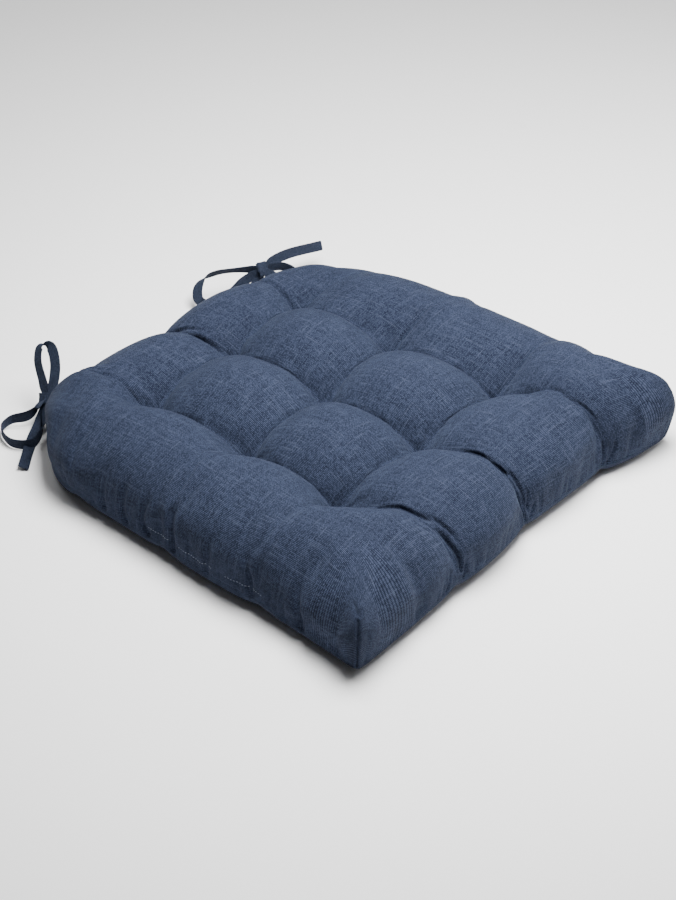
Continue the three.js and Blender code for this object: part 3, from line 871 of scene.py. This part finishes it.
def makeCushion():
    top, bottom = wholePanel("top"), wholePanel("bottom")
    points, faces, topIndex, bottomIndex = joinPanels(top, bottom)
    piece = newMesh("cushionCover", points, faces)
    report(f"cushion grid of {len(faces)} faces")

    held = np.zeros(len(points))
    held[bottomIndex[1:-1, 1:-1].ravel()] = 1.0
    seamRing = np.zeros(topIndex.shape, bool)
    seamRing[[0, -1], :] = seamRing[:, [0, -1]] = True
    held[topIndex[seamRing]] = 1.0
    n = cushion["steps"]
    for column in range(1, puffs):
        for row in range(1, puffs):
            held[topIndex[column * n - 1:column * n + 2, row * n - 1:row * n + 2]] = 1.0
    points = inflate(piece, held)
    points[:, 2] = np.maximum(points[:, 2], 0)
    setCoordinates(piece.data, points)

    onTop, under = threadPlaces(points[topIndex]), threadPlaces(points[bottomIndex])
    under = under + np.array([cushion["panelsApart"] * mm, 0.0])
    layer = piece.data.uv_layers.new(name="cloth")
    layer.data.foreach_set("uv", np.vstack([quadsOf(onTop, False), quadsOf(under, True)]).ravel())

    shaped["grid"] = points[topIndex]
    makeActive(piece)
    subdivideSmoothly(piece, cushion["smoothing"])
    shapeCover(piece.data)
    piece.data.materials.append(coverFinish)
    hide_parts("cushion")
    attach(piece, "root")
    report(f"cover has {len(piece.data.polygons)} faces")
    return piece


# The ties: each a tape folded at its middle, sewn into the seam and tied in a bow.
# A row is a place on the middle of the tape and the way its width runs there.
tape = {
    "width": 11.8,
    "thickness": 1.1,
    "gatheredWidth": 7.0,  # where it goes into a knot
    "gatheredReach": 13.0,
    "step": 1.6,
    "ripple": 0.35,  # how far the tape's edges wave, and how soon
    "rippleLength": 9.0,
    "crumple": (1.6, 5.0),  # how deep and how close its folds are where it is gathered
    "wrapTurns": 1.3,
    "wrapStart": 0.35,
    "wrapSteps": 22,
    "wrapReach": (8.2, 4.0),  # half the knot's width and depth, at the middle of the wrapping tape
    "wrapGrowth": 0.16,  # each turn lies over the last one and a little along
    "wrapLead": 1.6,
    "wrapWidth": 11.0,
    "wrapCrown": 0.9,
    "insideFolds": (-2.0, 0.0, 2.0),  # the folds that fill the wrap
    "insideReach": (-5.6, -2.0, 2.0, 5.6),
    "insideWidth": 14.0,
    "backApart": 20.0,  # on the cloth, of a strip's two sides and of the strips
    "stripsApart": 400.0,
    # half of the tape's section, across it and through it, with its sewn edges
    "section": [
        (-1, 0), (-0.96, 0.8), (-0.82, 1), (-0.7, 0.8), (0, 1), (0.7, 0.8), (0.82, 1), (0.96, 0.8), (1, 0),
    ],
}
# ways the tape's width can run
onEdge = (0, 0, 1)
leaning = (-0.1, -0.85, 0.5)
turned = (0.2, -0.85, 0.42)
facing = (0.45, -0.87, 0.2)
halfFlat = (0.54, -0.72, -0.43)
tipped = (-0.25, -0.4, 0.88)
rising = (0.7, 0, 0.7)
alongLeftSeam = (0.87, 0.49, 0)
alongRightSeam = (0.92, -0.4, 0)

tieLeft = {
    "knot": {"at": (-165, 258, 27), "along": (0.45, 0.4, 0.8), "wide": (0.67, -0.74, 0)},
    "strands": {
        "standingLoop": [
            ((-165, 258, 27), facing), ((-159, 270, 40), turned), ((-149, 287, 56), turned),
            ((-140, 291, 66), turned), ((-135, 282, 67), facing), ((-140, 270, 58), facing),
            ((-152, 260, 42), facing), ((-165, 257, 27), facing),
        ],
        "lyingLoop": [
            ((-165, 257, 27), facing), ((-171, 252, 19), facing), ((-195, 237, 8), onEdge),
            ((-214, 232, 7), onEdge), ((-226, 249, 7), onEdge), ((-217, 274, 8), onEdge),
            ((-202, 276, 10), onEdge), ((-188, 263, 15), onEdge), ((-165, 259, 27), leaning),
        ],
        "longEnd": [
            ((-165, 258, 27), facing), ((-171, 257, 16), facing), ((-183, 253, 6), halfFlat),
            ((-208, 238, 3.8), halfFlat), ((-245, 210, 3.6), halfFlat),
        ],
        "shortEnd": [((-165, 258, 27), leaning), ((-172, 259, 26), leaning), ((-182, 257, 23), leaning)],
        "sewnEnd": [
            ((-165, 258, 27), (0.5, 0.4, 0.7)), ((-167, 249, 25), (0.75, 0.45, 0.4)),
            ((-171, 239, 21), alongLeftSeam), ((-180.5, 224.5, 20), alongLeftSeam),
        ],
    },
}
tieRight = {
    "knot": {"at": (173, 262, 27), "along": (0.85, -0.5, 0.1), "wide": (0.42, 0.7, 0.57)},
    "strands": {
        "lyingLoop": [
            ((173, 263, 27), onEdge), ((152, 275, 31), tipped), ((127, 292, 31), tipped),
            ((112, 298, 27), (0.4, -0.7, 0.6)), ((99, 294, 21), facing), ((92, 285, 14), facing),
            ((99, 275, 10), (0.4, -0.4, 0.8)), ((122, 272, 10), rising), ((148, 271, 17), rising),
            ((173, 262, 27), onEdge),
        ],
        "longEnd": [
            ((173, 261, 28), onEdge), ((188, 261, 31), (-0.15, 0.5, 0.85)),
            ((208, 257, 33), (0.1, 0.4, 0.9)), ((257, 245, 28), (0.1, 0.4, 0.9)),
        ],
        "smallLoop": [
            ((173, 262, 27), onEdge), ((187, 258, 26), onEdge), ((200, 252, 22), (0.2, -0.4, 0.9)),
            ((206, 245, 15), (0.4, -0.4, 0.8)), ((197, 240, 8), onEdge), ((185, 252, 15), onEdge),
            ((173, 262, 27), onEdge),
        ],
        "shortEnd": [
            ((173, 261, 27), onEdge), ((168, 262, 19), (0.8, -0.4, 0.45)), ((148, 259, 5), (0.8, -0.5, 0.2)),
        ],
        "sewnEnd": [
            ((173, 262, 27), (0.5, -0.2, 0.8)), ((171, 248, 26), (0.7, -0.3, 0.6)),
            ((166, 230, 21.5), alongRightSeam), ((156.5, 207.5, 20), alongRightSeam),
        ],
    },
}


def sweepTape(rows, widths, crown=0.0, seed=0.0):
    # a strip of tape with soft edges along its rows; gives points, faces and cloth places
    line, run = throughRows([(*place, *wide) for place, wide in rows], tape["step"])
    centre, wide = line[:, :3], line[:, 3:]
    forward = unit(np.gradient(centre, axis=0))
    wide = unit(wide - forward * (wide * forward).sum(1, keepdims=True))
    thick = np.cross(forward, wide)
    half = widths(run) / 2
    gather = 1 - half * 2 / tape["width"]
    wave = tape["ripple"] * np.sin(run / tape["rippleLength"] + seed) * (1 - gather)
    ring = tape["section"] + [(a, -b) for a, b in tape["section"][-2:0:-1]]
    deep, close = tape["crumple"]
    points, places = [], []
    for a, b in ring:
        lift = b * tape["thickness"] / 2 + crown * (1 - a * a) + wave * a
        crumple = gather * deep * np.cos(a * close + seed)
        points.append(centre + wide * (a * half)[:, None] + thick * (lift + crumple)[:, None])
        onCloth = a * tape["width"] / 2 + (tape["backApart"] if b < 0 else 0)
        places.append(np.stack([np.full(len(run), onCloth), run], axis=1))
    points, places = np.stack(points, axis=1), np.stack(places, axis=1)
    count, size = points.shape[:2]
    faces = []
    for k in range(count - 1):
        for side in range(size):
            here, beside = k * size + side, k * size + (side + 1) % size
            faces.append((here, beside, beside + size, here + size))
    last = (count - 1) * size
    faces.append(tuple(range(size))[::-1])
    faces.append(tuple(last + side for side in range(size)))
    return points.reshape(-1, 3), faces, places.reshape(-1, 2), run[-1]


def strandWidths(bothEnds):
    # the tape is gathered where it goes into the knot
    def widths(run):
        near = np.minimum(run, run[-1] - run) if bothEnds else run
        return mix(tape["gatheredWidth"], tape["width"], smoothBetween(near, 2, tape["gatheredReach"]))
    return widths


def knotWays(knot):
    # along the knot, across it and through it
    axis, side = unit(np.array(knot["along"], float)), np.array(knot["wide"], float)
    side = unit(side - axis * (side @ axis))
    return axis, side, np.cross(side, axis)


def wrapRows(knot):
    # the turn of tape round the middle of a bow
    axis, side, through = knotWays(knot)
    wide, deep = tape["wrapReach"]
    rows = []
    for k in range(tape["wrapSteps"] + 1):
        share = k / tape["wrapSteps"]
        turn = 2 * math.pi * (tape["wrapTurns"] * share - tape["wrapStart"])
        grow = 1 + tape["wrapGrowth"] * share
        place = np.array(knot["at"]) + side * (wide * grow * math.cos(turn))
        place = place + through * (deep * grow * math.sin(turn)) + axis * (tape["wrapLead"] * (share - 0.5))
        rows.append((tuple(place), tuple(axis)))
    return rows


def foldsInside(knot):
    # the tape's own folds, which fill the wrap from end to end
    axis, side, through = knotWays(knot)
    for offset in tape["insideFolds"]:
        start = np.array(knot["at"]) + through * offset
        yield [(tuple(start + axis * reach), tuple(side)) for reach in tape["insideReach"]]


def alwaysWide(width):
    return lambda run: np.full(len(run), width)


def makeTie(name, bow, node):
    points, faces, places, lengths = [], [], [], 0.0
    # each strip's rows, its widths, how far its middle bulges, and a number for its waves and its cloth
    strips = [
        (rows, strandWidths("Loop" in part), 0.0, k)
        for k, (part, rows) in enumerate(bow["strands"].items())
    ]
    strips.append((wrapRows(bow["knot"]), alwaysWide(tape["wrapWidth"]), tape["wrapCrown"], 9))
    strips += [(rows, alwaysWide(tape["insideWidth"]), 0.0, 10) for rows in foldsInside(bow["knot"])]
    for rows, widths, crown, seed in strips:
        p, f, c, length = sweepTape(rows, widths, crown, seed)
        start = sum(len(q) for q in points)
        faces += [tuple(start + i for i in face) for face in f]
        points.append(p)
        places.append(c + np.array([0, tape["stripsApart"] * seed]))
        lengths += length
    piece = newMesh(name, (np.vstack(points) - middle) * mm, faces)
    cloth = np.vstack(places) * mm
    layer = piece.data.uv_layers.new(name="cloth")
    corner = np.zeros(len(piece.data.loops), int)
    piece.data.loops.foreach_get("vertex_index", corner)
    layer.data.foreach_set("uv", cloth[corner].ravel())
    makeActive(piece)
    bpy.ops.object.mode_set(mode="EDIT")
    bpy.ops.mesh.select_all(action="SELECT")
    bpy.ops.mesh.normals_make_consistent(inside=False)
    bpy.ops.object.mode_set(mode="OBJECT")
    subdivideSmoothly(piece, 1)
    piece.data.materials.append(tapeFinish)
    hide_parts(node)
    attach(piece, "root")
    report(f"{name} is {lengths:.0f} mm of tape, {len(piece.data.polygons)} faces")


seamThread = {
    "pitch": 3.4, "length": 2.2, "thickness": 0.6,
    "proud": 0.1,  # how far its middle stands off the cover
    "inset": 0.045,  # how far up the wall from the seam, in puffs
    # where it shows between the gathers of the left and right walls, in puffs from the front
    "spans": [(0.92, 1.36), (1.46, 1.78), (1.89, 2.21)],
    "samples": 60,
    "roughness": 0.6,
    "twistScale": 900.0,
    "shade": (0.10, 0.13, 0.19, 1),
    "light": (0.27, 0.31, 0.38, 1),
    "stops": (0.3, 0.7),
}


def makeSeamThread(cover):
    # one stitch, copied along the walls a little above the seam
    bpy.ops.object.select_all(action="DESELECT")
    bpy.ops.mesh.primitive_uv_sphere_add(segments=6, ring_count=4, radius=0.5)
    one = bpy.context.active_object
    size = np.array([seamThread["length"], seamThread["thickness"], seamThread["thickness"]])
    stitch = coordinates(one.data)[:, [2, 0, 1]] * size * mm
    faces = [tuple(face.vertices) for face in one.data.polygons]
    bpy.data.objects.remove(one)
    surface = surfaceOf(cover.data)
    points, allFaces = [], []
    for across in (seamThread["inset"], puffs - seamThread["inset"]):
        for start, end in seamThread["spans"]:
            along = np.linspace(start, end, seamThread["samples"])
            line = gridAt(np.stack([np.full(len(along), across), along], 1))
            run = lengthAlong(line) / mm
            for spot in np.arange(1, run[-1] - 1, seamThread["pitch"]):
                before, here, after = (
                    Vector([np.interp(spot + reach, run, column) for column in line.T])
                    for reach in (-1, 0, 1)
                )
                place, normal, _, _ = surface.find_nearest(here)
                way = after - before
                way = (way - normal * way.dot(normal)).normalized()
                turn = np.array([way, normal.cross(way), normal]).T
                first = sum(len(q) for q in points)
                points.append(stitch @ turn.T + np.array(place + normal * (seamThread["proud"] * mm)))
                allFaces += [tuple(first + i for i in face) for face in faces]
    piece = newMesh("seamThread", np.vstack(points), allFaces)
    makeActive(piece)
    bpy.ops.object.shade_smooth()
    piece.data.materials.append(threadFinish)
    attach(piece, "root")
    report(f"{len(points)} stitches show along the seam")


def makeThread():
    finish, tree, surface = newFinish("sewingThread")
    surface.inputs["Roughness"].default_value = seamThread["roughness"]
    place = addNode(tree, "ShaderNodeTexCoord")
    twist = addNode(tree, "ShaderNodeTexNoise", {
        "Vector": place.outputs["Object"], "Scale": seamThread["twistScale"],
    })
    ramp = addNode(tree, "ShaderNodeValToRGB", {"Fac": twist.outputs[0]})
    stops = ramp.color_ramp.elements
    for stop, at, colour in zip(stops, seamThread["stops"], ("shade", "light")):
        stop.position, stop.color = at, seamThread[colour]
    tree.links.new(ramp.outputs[0], surface.inputs["Base Color"])
    return finish


makeCamera()
makeStudio()
report(f"camera and {len(studio['softBoxes'])} soft boxes are up")
weave = makeWeave()
threadFinish = makeThread()
coverFinish = makeCloth("coverCloth", coverCloth)
tapeFinish = makeCloth("tapeCloth", tapeCloth)
report("cloths are woven")
cover = makeCushion()
makeSeamThread(cover)
makeTie("tapeLeft", tieLeft, "tie_left")
makeTie("tapeRight", tieRight, "tie_right")
